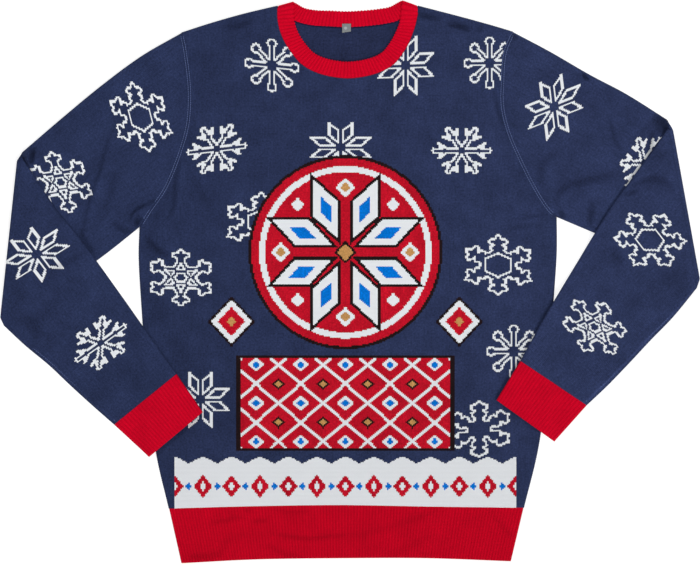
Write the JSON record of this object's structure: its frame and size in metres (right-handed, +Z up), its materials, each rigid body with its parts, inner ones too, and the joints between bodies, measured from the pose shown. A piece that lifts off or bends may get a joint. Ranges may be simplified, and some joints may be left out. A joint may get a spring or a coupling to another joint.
{
  "type": "christmas sweater",
  "caption": "Knitted crew-neck pullover laid flat, its long sleeves turned over at the elbows, with ribbed neckband, cuffs and hem.",
  "frame": {"origin": "middle of the footprint, on the surface that the back of the garment lies on", "axes": "+X across the chest from the left of the view to the right, +Y from the hem up to the neck, +Z up out of the front"},
  "size_m": [0.9082, 0.7314, 0.0119],
  "materials": {
    "front_panel": "navy colourwork knit, matt",
    "back_panel": "navy knit, matt",
    "neckband": "red 1x1 rib knit, matt",
    "front_hem_rib": "red 1x1 rib knit, matt",
    "back_hem_rib": "red 1x1 rib knit, matt",
    "left_sleeve": "navy colourwork knit, matt",
    "right_sleeve": "navy colourwork knit, matt",
    "left_cuff": "red 1x1 rib knit, matt",
    "right_cuff": "red 1x1 rib knit, matt",
    "size_label": "woven tape, matt"
  },
  "bodies": {
    "root": {"front_panel": "front_panel", "back_panel": "back_panel", "neckband": "neckband", "front_hem_rib": "front_hem_rib", "back_hem_rib": "back_hem_rib", "left_sleeve": "left_sleeve", "right_sleeve": "right_sleeve", "left_cuff": "left_cuff", "right_cuff": "right_cuff", "size_label": "size_label"}
  },
  "joints": []
}
